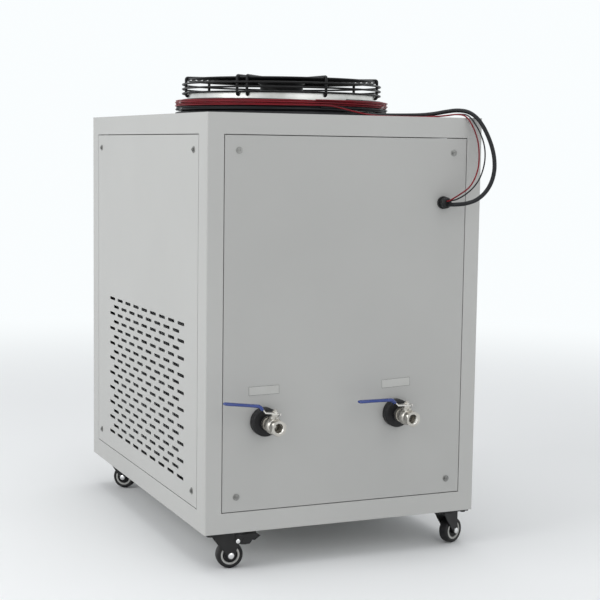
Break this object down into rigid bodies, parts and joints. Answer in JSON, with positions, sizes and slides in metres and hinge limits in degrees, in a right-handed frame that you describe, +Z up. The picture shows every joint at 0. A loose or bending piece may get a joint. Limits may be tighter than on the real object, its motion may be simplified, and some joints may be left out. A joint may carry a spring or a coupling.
{
  "type": "air-cooled chiller",
  "caption": "Free-standing air-cooled water chiller on casters, with a top fan, slotted sides, two ball valves and its cables coiled round the fan.",
  "frame": {"origin": "on the floor, at the middle of the object's plan box", "axes": "+Z up, -Y out of the face with the two water valves, +X to the right when that face is seen from in front"},
  "size_m": [0.7132, 1.08, 1.1484],
  "materials": {
    "paint": "warm light grey powder coat, satin",
    "panel_paint": "warm light grey powder coat, satin",
    "steel": "cast and machined stainless steel, satin",
    "zinc": "zinc plated, satin",
    "black_wire_coat": "black powder coat",
    "black_metal": "black paint, semi-gloss",
    "black_plastic": "black moulded plastic",
    "black_rubber": "black rubber",
    "tyre": "black polyurethane tread and hub",
    "blue_vinyl": "dark blue dipped vinyl",
    "red_vinyl": "red PVC",
    "green_plastic": "green moulded plastic",
    "red_plastic": "red moulded plastic",
    "copper": "drawn copper tube",
    "aluminium": "pressed aluminium fins",
    "label": "thin label stock with a dark border",
    "drier_green": "green paint",
    "pump_blue": "blue paint"
  },
  "bodies": {
    "cabinet": {"base_tray": "paint", "corner_posts": "paint", "top_frame": "paint", "top_panel": "paint", "connection_panel": "panel_paint", "left_side_panel": "paint", "right_side_panel": "paint", "service_panel": "panel_paint", "panel_screws": "zinc", "door_hinges": "black_metal", "fan_ring": "zinc", "fan_guard": "black_wire_coat", "fan_motor": "black_metal", "condenser_fins": "aluminium", "condenser_tubes": "copper", "compressor": "black_metal", "compressor_feet": "black_rubber", "refrigerant_lines": "copper", "filter_drier": "drier_green", "water_tank": "steel", "evaporator_coil": "copper", "pump_casing": "pump_blue", "pump_motor": "pump_blue", "water_pipes": "steel", "electrical_plate": "zinc", "wall_collars": "black_plastic", "valve_bodies": "steel", "label_plates": "label", "cable_gland": "black_plastic", "caster_plates": "black_metal", "power_cable": "black_rubber", "power_coil": "black_rubber", "red_wire": "red_vinyl", "red_coil": "red_vinyl", "black_wire": "black_rubber", "black_coil": "black_rubber"},
    "door": {"control_door": "panel_paint", "controller": "black_plastic", "lamps": "green_plastic"},
    "latch": {"door_latch": "black_metal"},
    "start_button": {"start_button": "green_plastic"},
    "stop_button": {"stop_button": "red_plastic"},
    "fan": {"fan_rotor": "black_metal"},
    "impeller": {"pump_impeller": "steel"},
    "inlet_valve": {"inlet_ball": "steel", "inlet_handle": "steel", "inlet_sleeve": "blue_vinyl"},
    "outlet_valve": {"outlet_ball": "steel", "outlet_handle": "steel", "outlet_sleeve": "blue_vinyl"},
    "caster_front_left": {"fork_front_left": "black_metal"},
    "wheel_front_left": {"wheel_front_left": "tyre"},
    "caster_front_right": {"fork_front_right": "black_metal"},
    "wheel_front_right": {"wheel_front_right": "tyre"},
    "caster_rear_left": {"fork_rear_left": "black_metal"},
    "wheel_rear_left": {"wheel_rear_left": "tyre"},
    "caster_rear_right": {"fork_rear_right": "black_metal"},
    "wheel_rear_right": {"wheel_rear_right": "tyre"},
    "brake_front_left": {"pedal_front_left": "black_metal"},
    "brake_rear_right": {"pedal_rear_right": "black_metal"}
  },
  "joints": [
    {"name": "fan_spin", "type": "hinge", "parent": "cabinet", "child": "fan", "pos_m": [0, -0.027, 1.09], "axis": [0, 0, 1], "continuous": true},
    {"name": "inlet_valve_turn", "type": "hinge", "parent": "cabinet", "child": "inlet_valve", "pos_m": [-0.208, -0.505, 0.347], "axis": [0.1219, 0, 0.9925], "range_deg": [0, 90]},
    {"name": "outlet_valve_turn", "type": "hinge", "parent": "cabinet", "child": "outlet_valve", "pos_m": [0.131, -0.505, 0.347], "axis": [0, 0, 1], "range_deg": [0, 90]},
    {"name": "door_swing", "type": "hinge", "parent": "cabinet", "child": "door", "pos_m": [-0.311, 0.52, 0.801], "axis": [0, 0, 1], "range_deg": [0, 110]},
    {"name": "latch_turn", "type": "hinge", "parent": "door", "child": "latch", "pos_m": [0.248, 0.515, 0.801], "axis": [0, 1, 0], "range_deg": [0, 90]},
    {"name": "start_press", "type": "slide", "parent": "door", "child": "start_button", "axis": [0, -1, 0], "range_m": [0, 0.003], "stiffness_N_per_m": 400},
    {"name": "stop_press", "type": "slide", "parent": "door", "child": "stop_button", "axis": [0, -1, 0], "range_m": [0, 0.003], "stiffness_N_per_m": 400},
    {"name": "impeller_spin", "type": "hinge", "parent": "cabinet", "child": "impeller", "pos_m": [-0.14, 0.07, 0.172], "axis": [0, 1, 0], "continuous": true},
    {"name": "swivel_front_left", "type": "hinge", "parent": "cabinet", "child": "caster_front_left", "pos_m": [-0.297, -0.408, 0.08], "axis": [0, 0, 1], "continuous": true},
    {"name": "roll_front_left", "type": "hinge", "parent": "caster_front_left", "child": "wheel_front_left", "pos_m": [-0.27708, -0.40974, 0.0315], "axis": [0.0872, 0.9962, 0], "continuous": true},
    {"name": "brake_press_front_left", "type": "hinge", "parent": "caster_front_left", "child": "brake_front_left", "pos_m": [-0.26114, -0.41114, 0.0655], "axis": [0.0872, 0.9962, 0], "range_deg": [0, 12]},
    {"name": "swivel_front_right", "type": "hinge", "parent": "cabinet", "child": "caster_front_right", "pos_m": [0.297, -0.408, 0.08], "axis": [0, 0, 1], "continuous": true},
    {"name": "roll_front_right", "type": "hinge", "parent": "caster_front_right", "child": "wheel_front_right", "pos_m": [0.31554, -0.40051, 0.0315], "axis": [-0.3746, 0.9272, 0], "continuous": true},
    {"name": "swivel_rear_left", "type": "hinge", "parent": "cabinet", "child": "caster_rear_left", "pos_m": [-0.297, 0.44, 0.08], "axis": [0, 0, 1], "continuous": true},
    {"name": "roll_rear_left", "type": "hinge", "parent": "caster_rear_left", "child": "wheel_rear_left", "pos_m": [-0.28168, 0.42714, 0.0315], "axis": [0.6428, 0.766, 0], "continuous": true},
    {"name": "swivel_rear_right", "type": "hinge", "parent": "cabinet", "child": "caster_rear_right", "pos_m": [0.297, 0.44, 0.08], "axis": [0, 0, 1], "continuous": true},
    {"name": "roll_rear_right", "type": "hinge", "parent": "caster_rear_right", "child": "wheel_rear_right", "pos_m": [0.28168, 0.45286, 0.0315], "axis": [-0.6428, -0.766, 0], "continuous": true},
    {"name": "brake_press_rear_right", "type": "hinge", "parent": "caster_rear_right", "child": "brake_rear_right", "pos_m": [0.26942, 0.46314, 0.0655], "axis": [-0.6428, -0.766, 0], "range_deg": [0, 12]}
  ]
}
